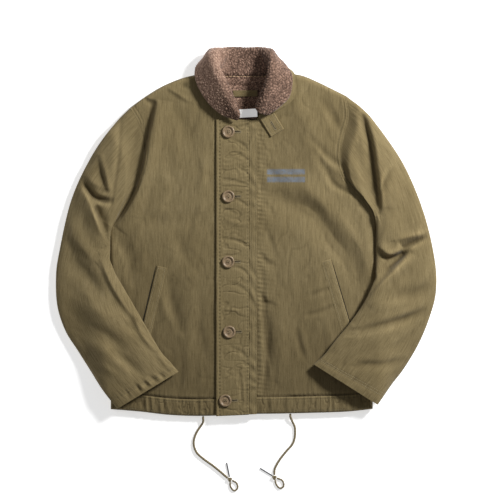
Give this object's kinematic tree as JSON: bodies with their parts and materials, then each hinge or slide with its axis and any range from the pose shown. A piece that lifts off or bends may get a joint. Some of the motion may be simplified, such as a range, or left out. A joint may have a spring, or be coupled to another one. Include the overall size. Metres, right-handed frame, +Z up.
{
  "type": "deck jacket",
  "caption": "Cotton deck jacket with a rolled pile collar, buttoned wind flap, slanted pockets and a drawcord hem, laid flat on its back.",
  "frame": {"origin": "on the surface the jacket lies on, under the middle of its outline with the drawcords left out", "axes": "+X to the right of a viewer looking down on the front, which is the wearer's left, along the jacket's widest extent; +Y from hem to collar; +Z up, out of the front"},
  "size_m": [0.7629, 0.8911, 0.0581],
  "materials": {
    "shell_cloth": "corded cotton, matt",
    "collar_pile": "curled pile, matt",
    "button_resin": "satin",
    "white_label": "matt",
    "cord_braid": "matt",
    "cord_tip": "satin"
  },
  "bodies": {
    "root": {"back_panel": "shell_cloth", "hem_back": "shell_cloth", "front_right": "shell_cloth", "front_left": "shell_cloth", "hem_front_right": "shell_cloth", "hem_front_left": "shell_cloth", "zip_strip": "shell_cloth", "wind_flap": "shell_cloth", "sleeve_right": "shell_cloth", "sleeve_left": "shell_cloth", "collar_facing": "collar_pile", "collar_under": "shell_cloth", "neck_lining": "collar_pile", "hanger_loop": "shell_cloth", "neck_label": "white_label", "throat_latch": "shell_cloth", "welt_right": "shell_cloth", "welt_left": "shell_cloth", "button_1": "button_resin", "button_2": "button_resin", "button_3": "button_resin", "button_4": "button_resin", "button_5": "button_resin", "drawcord_right": "cord_braid", "knot_right": "cord_braid", "loop_right": "cord_braid", "tip_right": "cord_tip", "drawcord_left": "cord_braid", "knot_left": "cord_braid", "loop_left": "cord_braid", "tip_left": "cord_tip"}
  },
  "joints": []
}
